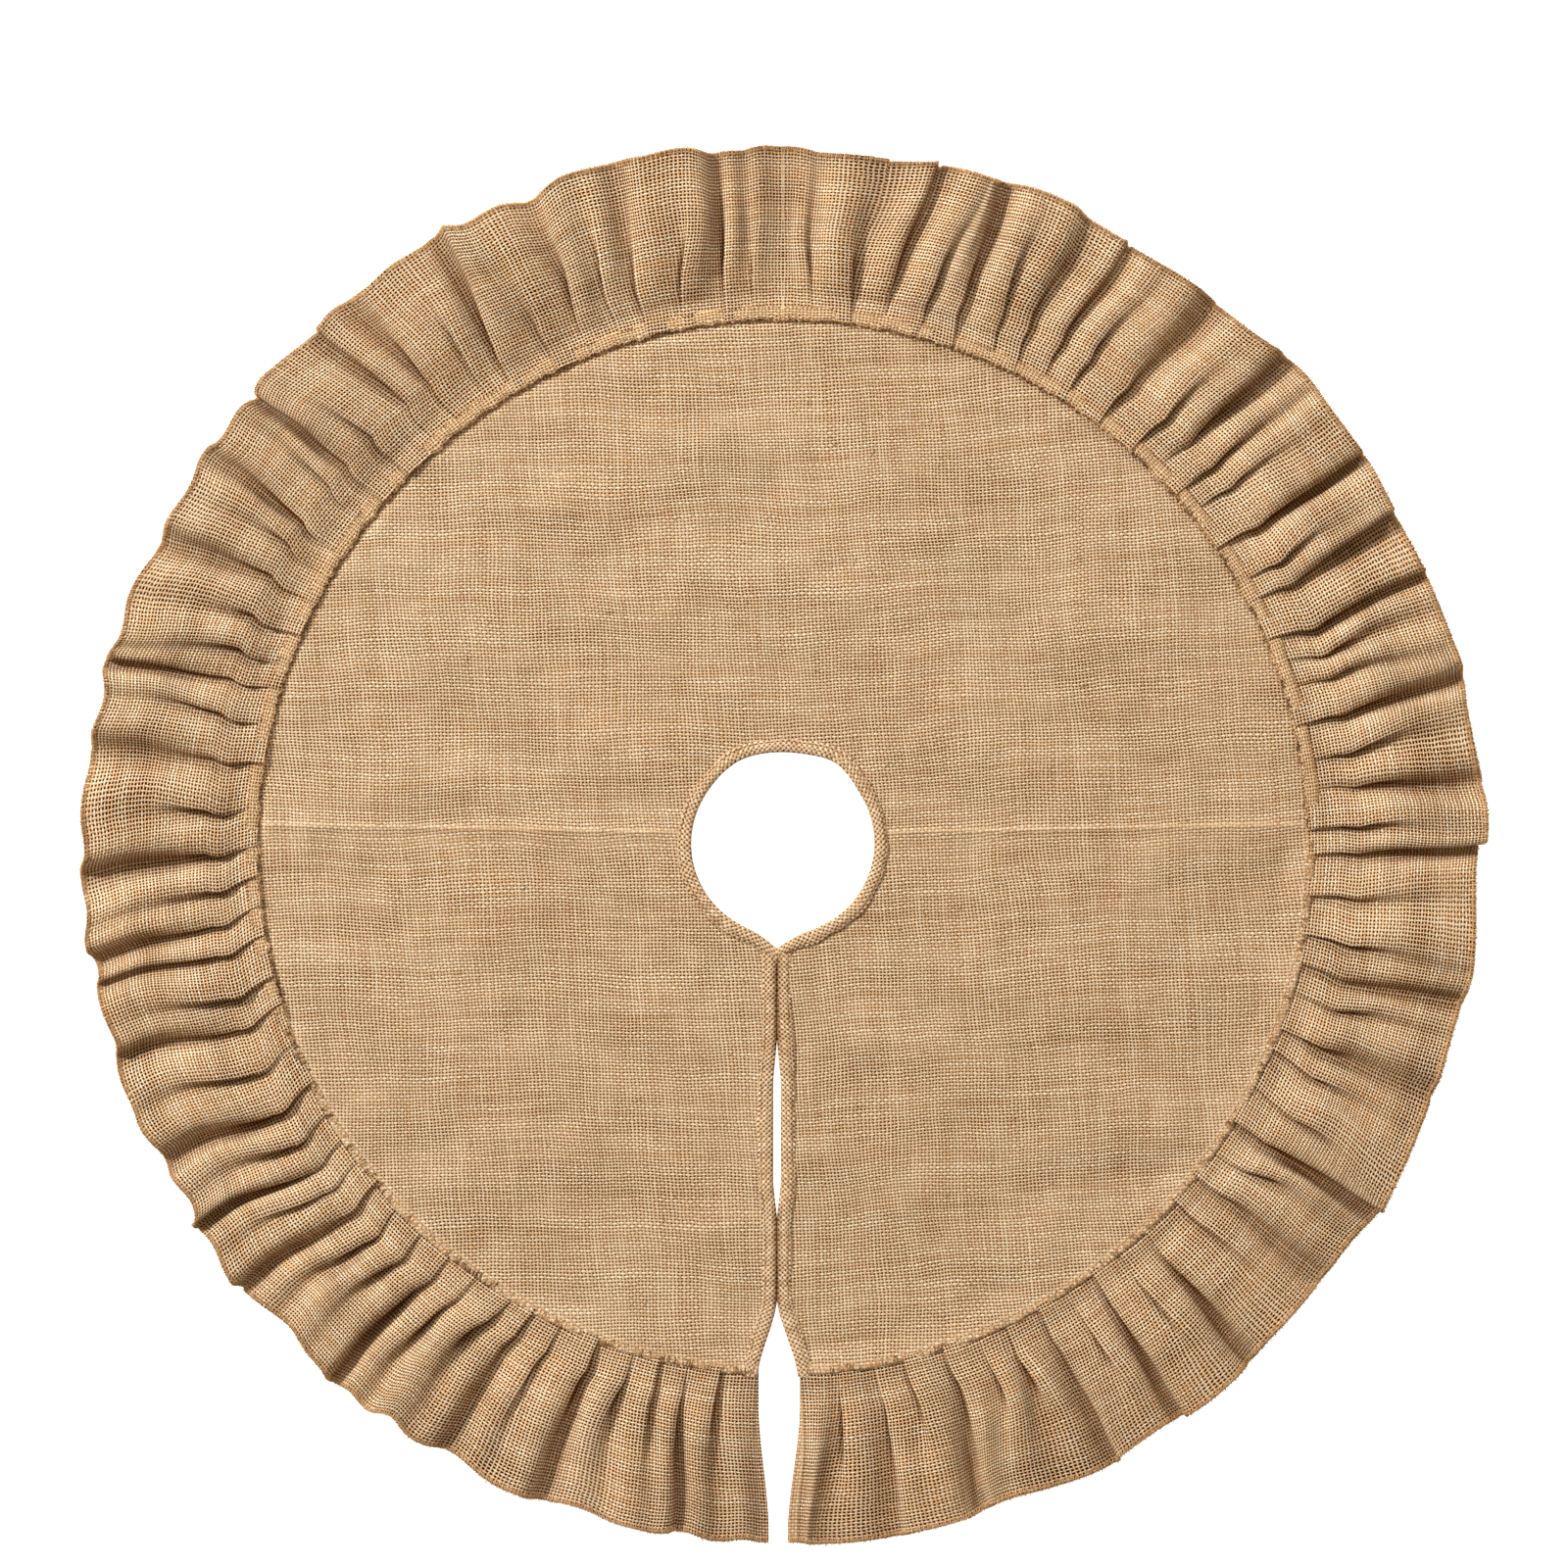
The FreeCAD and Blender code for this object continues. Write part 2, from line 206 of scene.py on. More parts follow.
def build_weave():
    """The weave, from flat-cloth coordinates in metres to a colour, a height and a roughness."""
    group = bpy.data.node_groups.new("burlap weave", "ShaderNodeTree")
    number, colour, vector = "NodeSocketFloat", "NodeSocketColor", "NodeSocketVector"
    taken = {"Cloth": vector, "Pitch": number, "Yarn Width": number, "Wander": number}
    taken.update({"Light Yarn": colour, "Dark Yarn": colour, "Hole": colour})
    taken.update({"Pressed": number, "Crevice": number})
    for name, kind in taken.items():
        group.interface.new_socket(name, in_out="INPUT", socket_type=kind)
    for name, kind in {"Color": colour, "Height": number, "Roughness": number}.items():
        group.interface.new_socket(name, in_out="OUTPUT", socket_type=kind)
    given = group.nodes.new("NodeGroupInput").outputs
    result = group.nodes.new("NodeGroupOutput").inputs
    middle = (0.5, 0.5, 0.5)
    drift = wire(group, "TexNoise", {"Vector": given["Cloth"], "Scale": 8.0, "Detail": 1.0}, output=1)
    drift = scaled(group, vectors(group, "SUBTRACT", drift, middle), given["Wander"])
    jitter = wire(group, "TexNoise", {"Vector": given["Cloth"], "Scale": 110.0, "Detail": 1.0}, output=1)
    jitter = scaled(group, vectors(group, "SUBTRACT", jitter, middle), yarn_wobble)
    place = vectors(group, "ADD", vectors(group, "ADD", given["Cloth"], drift), jitter)
    parts = group.nodes.new("ShaderNodeSeparateXYZ")
    group.links.new(place, parts.inputs[0])
    across = maths(group, "DIVIDE", parts.outputs[0], given["Pitch"])
    weft_pitch = maths(group, "MULTIPLY", given["Pitch"], weft_crowding)
    along = maths(group, "DIVIDE", parts.outputs[1], weft_pitch)
    patch_place = vectors(group, "MULTIPLY", given["Cloth"], (0.5, 1.5, 1.0))
    patch = wire(group, "TexNoise", {"Vector": patch_place, "Scale": 17.0, "Detail": 3.0})
    closed = maths(group, "MULTIPLY", maths(group, "SUBTRACT", patch, 0.5), 0.5)
    width = maths(group, "ADD", given["Yarn Width"], closed)
    width = maths(group, "MULTIPLY_ADD", given["Pressed"], 0.34, width)
    warp, warp_swing, warp_tint, warp_streak = yarn_set(group, across, along, width, 3.7, warp_streaks)
    weft, weft_swing, weft_tint, weft_streak = yarn_set(group, along, across, width, 11.2, weft_streaks)
    warp_rise = maths(group, "MULTIPLY_ADD", warp_swing, yarn_crimp, 1.0 - yarn_crimp)
    weft_rise = maths(group, "MULTIPLY_ADD", weft_swing, -yarn_crimp, 1.0 - yarn_crimp)
    warp_top = maths(group, "MULTIPLY", warp, warp_rise)
    weft_top = maths(group, "MULTIPLY", weft, weft_rise)
    surface = maths(group, "MAXIMUM", warp_top, weft_top)
    warp_shown = maths(group, "GREATER_THAN", warp_top, weft_top)
    tint = wire(group, "Mix", {0: warp_shown, 2: weft_tint, 3: warp_tint}, data_type="FLOAT")
    streak = wire(group, "Mix", {0: warp_shown, 2: weft_streak, 3: warp_streak}, data_type="FLOAT")
    yarn = blend_colour(group, fade(group, tint, 0.3, 0.85), given["Dark Yarn"], given["Light Yarn"])
    # Painted light: crossings where the weft lies on top are painted brighter than those where the warp lies
    # on top, as light falling across the weft yarns would light them.
    yarn = scaled(group, yarn, maths(group, "MULTIPLY_ADD", warp_shown, warp_shade_from_light, 1.24))
    # Painted shade: yarns are darkened where they dip under their neighbours, and the holes between yarns are
    # painted a dark brown that stands for the shade under the cloth.
    shaded = vectors(group, "MULTIPLY", yarn, yarn_shade_tint)
    yarn = blend_colour(group, fade(group, surface, 0.34, 0.98), shaded, yarn)
    cloth = blend_colour(group, fade(group, surface, 0.26, 0.62), given["Hole"], yarn)
    # Painted shade: cloth under the edge of a fold is darkened and browned by the stored mark.
    painted_shade = vectors(group, "MULTIPLY", cloth, fold_shade_tint)
    group.links.new(blend_colour(group, given["Crevice"], cloth, painted_shade), result["Color"])
    group.links.new(maths(group, "MULTIPLY_ADD", streak, 0.12, surface), result["Height"])
    group.links.new(maths(group, "MULTIPLY_ADD", streak, 0.16, 0.8), result["Roughness"])
    return group


weave = build_weave()


def burlap(name, light, dark, hole, yarn_width, wander, pitch=yarn_pitch):
    """A burlap material: it reads flat-cloth coordinates, how pressed the cloth is and how much painted shade
    it gets under folds; its hole colour is painted shade for the gaps between yarns.
    """
    material = bpy.data.materials.new(name)
    material.use_nodes = True
    tree = material.node_tree
    shader = tree.nodes["Principled BSDF"]
    node = tree.nodes.new("ShaderNodeGroup")
    node.node_tree = weave
    tree.links.new(wire(tree, "UVMap", {}, uv_map="cloth"), node.inputs["Cloth"])
    for field in ("pressed", "crevice"):
        stored = wire(tree, "Attribute", {}, output=2, attribute_name=field)
        tree.links.new(stored, node.inputs[field.title()])
    chosen = {"Pitch": pitch, "Yarn Width": yarn_width, "Wander": wander}
    chosen.update({"Light Yarn": light, "Dark Yarn": dark, "Hole": hole})
    for socket, value in chosen.items():
        node.inputs[socket].default_value = value
    tree.links.new(node.outputs["Color"], shader.inputs["Base Color"])
    tree.links.new(node.outputs["Roughness"], shader.inputs["Roughness"])
    relief = wire(tree, "Bump", {"Height": node.outputs["Height"], "Strength": 0.8, "Distance": 0.0011})
    tree.links.new(relief, shader.inputs["Normal"])
    shader.inputs["Specular IOR Level"].default_value = 0.06
    return material


def new_piece(name, points, faces):
    """A smooth-shaded mesh object from points and faces."""
    mesh = bpy.data.meshes.new(name)
    mesh.from_pydata(points.reshape(-1, 3).tolist(), [], faces.tolist())
    mesh.shade_smooth()
    piece = bpy.data.objects.new(name, mesh)
    bpy.context.scene.collection.objects.link(piece)
    bpy.ops.object.select_all(action="DESELECT")
    piece.select_set(True)
    bpy.context.view_layer.objects.active = piece
    return piece


def cloth_piece(name, points, cloth, material, turned, **marks):
    """A piece of cloth from a grid of points (rows, columns, 3) and each point's place in the flat cloth.

    Its columns are turned round where that makes its right side face up. The marks, one number for each
    point, are stored for its material, and the sheet gets its thickness, half to each side.
    """
    if turned:
        points = points[:, ::-1]
        cloth = cloth[:, ::-1]
    rows, columns = points.shape[:2]
    index = np.arange(rows * columns).reshape(rows, columns)
    faces = np.stack([index[:-1, :-1], index[:-1, 1:], index[1:, 1:], index[1:, :-1]], axis=-1)
    piece = new_piece(name, points, faces.reshape(-1, 4))
    corners = np.stack([cloth[:-1, :-1], cloth[:-1, 1:], cloth[1:, 1:], cloth[1:, :-1]], axis=2)
    uv = piece.data.uv_layers.new(name="cloth")
    uv.data.foreach_set("uv", corners.reshape(-1).astype(np.float32))
    for field, values in marks.items():
        values = values[:, ::-1] if turned else values
        stored = piece.data.attributes.new(field, "FLOAT", "POINT")
        stored.data.foreach_set("value", np.ascontiguousarray(values, np.float32).reshape(-1))
    solid = piece.modifiers.new("thickness", "SOLIDIFY")
    solid.thickness = cloth_thickness
    solid.offset = 0.0
    bpy.ops.object.modifier_apply(modifier=solid.name)
    bpy.ops.object.shade_smooth_by_angle(angle=math.radians(62.0))
    piece.data.materials.append(material)
    return piece


class Waves:
    """A smooth uneven surface or line: a sum of sine waves with seeded lengths, directions and phases."""

    def __init__(self, seed, shortest, longest, count=9):
        draw = np.random.default_rng(seed)
        length = np.exp(draw.uniform(math.log(shortest), math.log(longest), count))
        heading = draw.uniform(0.0, 2.0 * math.pi, count)
        self.kx = 2.0 * math.pi / length * np.cos(heading)
        self.ky = 2.0 * math.pi / length * np.sin(heading)
        self.phase = draw.uniform(0.0, 2.0 * math.pi, count)
        self.scale = math.sqrt(2.0 / count)

    def __call__(self, x, y=0.0):
        x = np.asarray(x, float)
        total = np.zeros(np.broadcast(x, y).shape)
        for kx, ky, phase in zip(self.kx, self.ky, self.phase):
            total = total + np.sin(kx * x + ky * y + phase)
        return total * self.scale


def smooth(value, low, high):
    """0 below low, 1 above high, and a smooth rise between them, for arrays."""
    share = np.clip((np.asarray(value, float) - low) / (high - low), 0.0, 1.0)
    return share * share * (3.0 - 2.0 * share)


# ----------------
# Panel.
# One round of burlap with a slit. It lies on the ground with slow ripples and a pressed crease right
# across it; the front half of its edge rolls over the ruffle's seam, the back half runs under it.
# ----------------
seam_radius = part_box("panel_back")[1].x - 0.011
neck_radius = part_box("neck_binding_back")[1].x - 0.0105
slit_line = -0.0052
neck_tip = -0.0912
crease_offset = 0.0085
crease_slope = 0.02
front_edge_height = 0.0040


def slit_half_gap(radius, side):
    """How far the slit's edge stands off the slit's line, at a distance from the trunk axis."""
    slack = 0.0036 * smooth(radius, 0.160, 0.215) * (1.0 - smooth(radius, 0.290, 0.335))
    flare = (0.0175 if side < 0 else 0.0185) * smooth(radius, 0.392, 0.470)
    return 0.0001 + slack + flare


def slit_edge(radius, side):
    return slit_line + side * slit_half_gap(radius, side)


def neck_edge(turn):
    """Radius of the trunk hole at a turn measured from +X: nearly round, drawn to a point at the slit."""
    def away(where):
        return np.abs(np.angle(np.exp(1j * (turn - where))))
    uneven = 0.0042 * np.exp(-((away(1.00) / 0.26) ** 2))
    uneven = uneven + 0.0020 * np.exp(-((away(2.06) / 0.30) ** 2))
    uneven = uneven - 0.0018 * np.exp(-((away(-1.3) / 1.1) ** 2))
    to_tip = away(math.atan2(neck_tip, slit_line))
    point = -neck_tip - neck_radius + 0.0017
    return neck_radius + uneven + point * np.exp(-((to_tip / 0.15) ** 1.3))


ground_ripple = Waves(11, 0.10, 0.34)
fine_ripple = Waves(12, 0.035, 0.09)
seam_pucker = Waves(13, 0.02, 0.05)


def raw_edge_up(x, y):
    """1 where the seam's raw edges lie on the right side, 0 where the panel's edge is folded over them."""
    change = np.where(np.asarray(x) < 0.0, -0.165, 0.003)
    return smooth(y - change, -0.022, 0.022)


def panel_height(x, y):
    """Height of the panel's middle layer above the ground."""
    radius = np.hypot(x, y)
    off_crease = np.abs(y - crease_offset - crease_slope * np.abs(x))
    lie = 0.0016 + 0.0007 * ground_ripple(x, y) + 0.00022 * fine_ripple(x, y)
    lie = lie + 0.0017 * np.exp(-off_crease / 0.0045)
    lie = lie + (0.0018 - lie) * (1.0 - smooth(radius, neck_radius + 0.004, neck_radius + 0.03))
    behind = raw_edge_up(x, y)
    pucker = seam_pucker(np.arctan2(y, x) * seam_radius)
    swell = smooth(radius, seam_radius - 0.026, seam_radius - 0.004)
    lie = lie + (1.0 - behind) * swell * (front_edge_height - lie + 0.0003 * pucker)
    under_header = behind * smooth(radius, seam_radius - 0.014, seam_radius - 0.002)
    lie = lie + (0.0009 - lie) * under_header
    return np.maximum(lie, 0.0006)


def half_turns(side, radius, sweep):
    """Turns at each radius of a half ring, from the slit's edge round one side to the middle of the back."""
    start = np.arcsin(np.clip((slit_edge(radius, side) + side * 0.0012) / radius, -1.0, 1.0))
    return -math.pi / 2 + start + sweep * (side * math.pi - start)


def panel_points(side, rows=80, columns=300):
    """The lying part of one side of the panel, and its edge: rolled under in front, flat at the back.

    The columns are closest together halfway round, where the crease runs.
    """
    share = np.linspace(0.0, 1.0, rows)[:, None] ** 0.82
    sweep = np.linspace(0.0, 1.0, columns)[None, :]
    sweep = sweep + 0.7 * np.sin(2.0 * math.pi * sweep) / (2.0 * math.pi)
    rough_turn = -math.pi / 2 + side * sweep * math.pi
    inner = neck_edge(rough_turn) + 0.0015
    radius = inner + (seam_radius - 0.004 - inner) * share
    turn = half_turns(side, radius, sweep)
    x = radius * np.cos(turn)
    y = radius * np.sin(turn)
    z = panel_height(x, y)
    edge_turn = turn[-1]
    behind = raw_edge_up(x[-1] + side * 0.01, y[-1])
    pucker = seam_pucker(edge_turn * seam_radius)
    rolled = ((-0.0018, 0.0042), (0.0004, 0.0044), (0.0017, 0.0042), (0.0024, 0.0037), (0.0021, 0.0032))
    flat = ((-0.0010, 0.0010), (0.0020, 0.0009), (0.0045, 0.0009), (0.0070, 0.0009), (0.0095, 0.0009))
    for (front_out, front_up), (back_out, back_up) in zip(rolled, flat):
        out = seam_radius + front_out + 0.0005 * pucker + (back_out - front_out) * behind
        up = front_up + 0.0002 * pucker + (back_up - front_up) * behind
        x = np.vstack([x, out * np.cos(edge_turn)])
        y = np.vstack([y, out * np.sin(edge_turn)])
        z = np.vstack([z, up])
    x[:, -1] = 0.0
    return np.stack([x, y, z], axis=-1)


# The hole colour given here is painted shade: the gaps between yarns are painted dark brown for the shade
# under the cloth.
panel_cloth = burlap(
    "panel_burlap", tone(255, 240, 214), tone(203, 161, 115), tone(56, 24, 2), 0.79, 0.016
)
halves = {"left": -1, "right": 1}
panel_pieces = {}
for name, side in halves.items():
    points = panel_points(side)
    x = points[:, :, 0]
    y = points[:, :, 1]
    warp_lean = 0.07
    weft_lean = 0.07 if side > 0 else 0.0
    cloth = np.stack([x + warp_lean * y, y - weft_lean * x], axis=-1)
    from_edge = seam_radius - np.hypot(x, y)
    folded_edge = (1.0 - smooth(from_edge, 0.0050, 0.0080)) * (1.0 - raw_edge_up(x, y))
    from_crease = y - crease_offset - crease_slope * np.abs(x)
    # Painted shade: a soft dark band just below the pressed crease, stronger on the left, and a thin dark
    # line just above it.
    below_crease = np.exp(-((from_crease + 0.0105) / 0.0065) ** 2)
    above_crease = np.exp(-((from_crease - 0.0035) / 0.0016) ** 2)
    ridge = 0.9 * np.exp(-(from_crease / 0.0026) ** 2)
    below_crease_shade = 0.12 if side < 0 else 0.05
    panel_half = cloth_piece(
        "panel_" + name,
        points,
        cloth,
        panel_cloth,
        side > 0,
        pressed=np.maximum(folded_edge, ridge + 0.5 * below_crease_shade / 0.12 * below_crease),
        crevice=below_crease_shade * below_crease + 0.16 * above_crease,
    )
    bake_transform(panel_half)
    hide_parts("panel_back", "panel_front_" + name)
    panel_pieces[name] = [panel_half]

# ----------------
# Ruffle.
# Strips of the same burlap, cut about half as long again as the seam, laid in knife pleats where they are
# sewn down and left to open into soft, uneven waves towards the rim. Each side is one sheet: its rows
# are worked out as folded lines of the cloth's true length.
# ----------------
ruffle_start = seam_radius - 0.002
ruffle_width = rim_radius - ruffle_start
seam_fullness = 1.47
pleat_cloth = 0.0440
pleats_in_a_wave = [1, 2, 2, 2, 3]
wave_steepness = (0.50, 1.08)
steep_share = 0.36
highest_wave = 0.0205
middle_swing = {-1: 0.034, 1: -0.014}
row_places = np.concatenate([np.linspace(0.0, 0.16, 9)[:-1], np.linspace(0.16, 1.0, 26)])
stops_in_a_pleat = np.concatenate(
    [np.arange(12) * 0.022, 0.30 + np.arange(7) * 0.072, 0.80 + np.arange(9) * 0.0225]
)


def knife_turn(place):
    """How far a knife pleat is turned: back on itself and out again, then flat for most of its cloth."""
    return smooth(place, 0.005, 0.085) - smooth(place, 0.175, 0.255)


def soft_turn(place):
    """The same for a pleat that has come open into a wave: a quick rise and a slower fall."""
    return np.sin(2.0 * math.pi * place ** 0.8)


def broad_turn(place):
    """The same for a broad wave that stands up steeply on the side towards the slit."""
    rest = 1.0 - steep_share
    rise = np.sin(math.pi * place / steep_share)
    fall = -steep_share / rest * np.sin(math.pi * (place - steep_share) / rest)
    return np.where(place < steep_share, rise, fall)


def slit_ruffle_end(radius, side):
    """How far from the slit's middle plane the ruffle's end lies, at a distance from the trunk axis."""
    out = smooth(radius, 0.490, 0.600)
    near, far = ((-0.0212, -0.0125) if side < 0 else (0.0147, 0.0042))
    return near + (far - near) * out


class Ruffle:
    """One side's strip: where its pleats and waves are, and how the cloth of each row lies."""

    def __init__(self, side, seed):
        draw = np.random.default_rng(seed)
        self.side = side
        self.length = math.pi * ruffle_start * seam_fullness
        count = round(self.length / pleat_cloth)
        cloth = draw.uniform(0.72, 1.3, count)
        edges = np.concatenate([[0.0], np.cumsum(cloth)]) / cloth.sum() * self.length
        self.along = (edges[:-1, None] + np.diff(edges)[:, None] * stops_in_a_pleat).ravel()
        self.along = np.append(self.along, self.length)
        self.step = np.diff(self.along)
        self.pleat, self.place = self.sort(edges)
        self.crowding = draw.uniform(-0.24, 0.24, count)
        groups = [0]
        while groups[-1] < count:
            groups.append(min(groups[-1] + int(draw.choice(pleats_in_a_wave)), count))
        self.wave, self.wave_place = self.sort(edges[groups])
        waves = len(groups) - 1
        width = np.diff(edges[groups])
        self.broad = draw.uniform(*wave_steepness, waves) * (2.0 * pleat_cloth / width) ** 0.35
        self.broad[[0, -1]] = 0.1
        self.lean = draw.uniform(0.05, 0.6, waves)
        self.tip = draw.uniform(0.0, 1.0, waves) ** 1.6
        middles = (edges[1:] + edges[:-1]) / 2.0
        self.held = np.interp(self.along, middles, draw.uniform(0.045, 0.135, count))
        self.slant = Waves(seed + 2, 0.16, 0.6)(self.along) * 0.010
        self.slant = self.slant + Waves(seed + 3, 0.06, 0.13)(self.along) * 0.0026
        swung = np.exp(-((self.along / self.length - 0.52) / 0.15) ** 2)
        self.slant = self.slant - middle_swing[side] * swung
        self.reach = Waves(seed + 4, 0.05, 0.3)(self.along) * 0.0030
        self.lift = Waves(seed + 5, 0.07, 0.35)(self.along)
        ends = smooth(self.along, 0.004, 0.04)
        self.loose = ends * (1.0 - smooth(self.along, self.length - 0.04, self.length - 0.004))
        self.behind = raw_edge_up(side, -np.cos(math.pi * self.along / self.length) * ruffle_start)

    def sort(self, edges):
        """Which fold each place along the strip is in, and how far through it."""
        owner = np.clip(np.searchsorted(edges, self.along, side="right") - 1, 0, len(edges) - 2)
        return owner, (self.along - edges[owner]) / np.diff(edges)[owner]

    def fold(self, shape, waviness, crowding, span):
        """Turns each pleat just enough to take up its cloth, and lays pleats and waves end to end."""
        shape = (shape[1:] + shape[:-1]) / 2.0
        base = (waviness[1:] + waviness[:-1]) / 2.0
        pleat = self.pleat[:-1]
        wave = self.wave[:-1]
        room = np.bincount(pleat, np.cos(base) * self.step)
        want = room * (1.0 + crowding)
        want = np.minimum(want * span / want.sum(), 0.995 * room)
        low = np.zeros(len(want))
        high = np.full(len(want), math.pi)
        for _ in range(22):
            turn = (low + high) / 2.0
            reached = np.bincount(pleat, np.cos(base + turn[pleat] * shape) * self.step)
            low = np.where(reached > want, turn, low)
            high = np.where(reached > want, high, turn)
        slope = base + turn[pleat] * shape
        wave_rise = self.levelled(np.sin(base), wave)
        pleat_rise = self.levelled(np.sin(slope) - np.sin(base), pleat)
        sideways = np.concatenate([[0.0], np.cumsum(np.cos(slope) * self.step)])
        waves_up = np.concatenate([[0.0], np.cumsum(wave_rise)])
        pleats_up = np.concatenate([[0.0], np.cumsum(pleat_rise)])
        return sideways, np.maximum(waves_up, 0.0), np.maximum(pleats_up, 0.0)

    def levelled(self, rise, owner):
        """The rise over each step, evened out so that every fold ends at the height where it began."""
        share = np.bincount(owner, rise * self.step) / np.bincount(owner, self.step)
        return (rise - share[owner]) * self.step

    def fold_shade(self, sideways, height):
        """How much painted shade each place in a row gets: 0 in the open, 1 right under the edge of a fold.
        """
        steepest = np.zeros((2, len(height)))
        for shift in [k for k in range(-22, 23) if k]:
            other = np.clip(np.arange(len(height)) + shift, 0, len(height) - 1)
            off = sideways[other] - sideways
            steep = np.arctan2(height[other] - height - 0.0003, np.abs(off) + 0.0007)
            way = (off > 0.0).astype(int)
            place = np.arange(len(height))
            steepest[way, place] = np.maximum(steepest[way, place], steep)
        by_a_wall = smooth(steepest.max(axis=0), 0.72, 1.28)
        between_walls = smooth(steepest.min(axis=0), 0.3, 0.9)
        return np.clip(0.75 * by_a_wall + 0.35 * between_walls, 0.0, 1.0)

    def row(self, share):
        """One row of points, at a share of the way from the seam to the rim."""
        out = ruffle_width * share
        radius = ruffle_start + out
        first = -math.pi / 2 + math.asin(slit_ruffle_end(radius, self.side) / radius)
        angle = math.pi - self.side * (first + math.pi / 2)
        opened = np.clip(out / (self.held + 0.020), 0.0, 1.0) ** 1.7
        shape = (1.0 - opened) * knife_turn(self.place) + 0.75 * opened * soft_turn(self.place)
        spreading = smooth(share, 0.06, 0.8)
        waviness = self.broad[self.wave] * broad_turn(self.wave_place) * spreading
        crowding = self.crowding * (1.0 - smooth(share, 0.1, 0.9))
        sideways, waves_up, pleats_up = self.fold(shape, waviness, crowding, radius * angle)
        pressed = 0.5 + 0.5 * smooth(out, 0.006 + 0.006 * self.behind, 0.035)
        leaning = self.lean[self.wave] * share
        tilted = sideways - waves_up * leaning + self.slant * self.loose * share
        lifted = waves_up * (1.0 - 0.25 * leaning) + pleats_up * pressed
        lifted = lifted + 0.0012 * (1.0 + self.lift) * spreading
        lifted = lifted * (0.12 + 0.88 * self.loose)
        height = highest_wave * np.tanh(lifted / highest_wave) + 0.0007
        height = height + 0.0014 * (1.0 - smooth(out, 0.008, 0.022))
        turned = (tilted - tilted[0]) / (tilted[-1] - tilted[0])
        turn = first + self.side * angle * np.clip(turned, 0.0, 1.0)
        crest = smooth(self.wave_place, 0.02, 0.26) * (1.0 - (self.wave_place - 0.26) / 0.74)
        stepped = (crest - 0.45) * self.tip[self.wave] * self.broad[self.wave] * 0.0055
        pulled = (self.reach + stepped - 0.10 * lifted) * smooth(share, 0.3, 1.0) * self.loose
        reach = radius + np.where(pulled > 0.0, 0.007 * np.tanh(pulled / 0.007), pulled)
        points = np.stack([reach * np.cos(turn), reach * np.sin(turn), height], axis=-1)
        # Painted shade: cloth under fold edges is shaded, less so towards the rim, and the low valleys of the
        # waves get a broad painted shade.
        painted_shade = self.fold_shade(tilted, lifted) * (1.0 - 0.65 * smooth(share, 0.32, 0.8))
        valley_shade = (1.0 - smooth(lifted, 0.0015, 0.0110)) * spreading
        return points, np.clip(painted_shade + 0.27 * valley_shade, 0.0, 1.0)

    def grid(self):
        rows = [self.row(share) for share in row_places]
        across = (row_places * ruffle_width)[:, None]
        cloth = np.stack(np.broadcast_arrays(self.along[None, :], across), axis=-1)
        return np.stack([points for points, _ in rows]), cloth, np.stack([painted_shade for _, painted_shade in rows])


# Its hole colour is painted shade for the gaps between yarns, darker than the panel's.
ruffle_cloth = burlap(
    "ruffle_burlap", tone(255, 248, 226), tone(222, 170, 114), tone(38, 13, 0), 0.63, 0.008
)
hem_width = 0.0100
ruffle_grids = {}
ruffle_painted_shade = {}
ruffle_pieces = {}
for name, side in halves.items():
    points, cloth, painted_shade = Ruffle(side, 40 + side).grid()
    ruffle_grids[name] = points
    ruffle_painted_shade[name] = painted_shade
    from_end = cloth[:, :, 0] - hem_width
    hem = np.zeros(painted_shade.shape)
    if side > 0:
        hem = 1.0 - smooth(from_end, -0.0010, 0.0010)
        # Painted shade: a dark line along the fold of the hem at the right-hand end of the strip.
        painted_shade = np.maximum(painted_shade, 0.8 * np.exp(-((from_end - 0.0005) / 0.0013) ** 2))
    strip = cloth_piece("ruffle_" + name, points, cloth, ruffle_cloth, side > 0, crevice=painted_shade, pressed=hem)
    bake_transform(strip)
    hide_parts("ruffle_back_" + name, "ruffle_front_" + name)
    ruffle_pieces[name] = [strip]

# ----------------
# Seam allowance.
# Round the back, and on a little past the crease on the left, the raw edges of panel and ruffle are left
# on the right side: a flat band of pressed, closely packed cloth, eleven millimetres wide, that covers
# the feet of the pleats. The creases of the pleats beneath dent it a little, their shade is painted
# through it, and its inner edge gets a ragged line of painted shade.
# ----------------
# Its hole colour is painted shade for the gaps between yarns.
allowance_cloth = burlap(
    "seam_allowance_burlap", tone(255, 232, 198), tone(212, 171, 124), tone(98, 56, 22), 0.80, 0.004
)
allowance_width = 0.0116
allowance_end = {-1: -0.155, 1: 0.012}
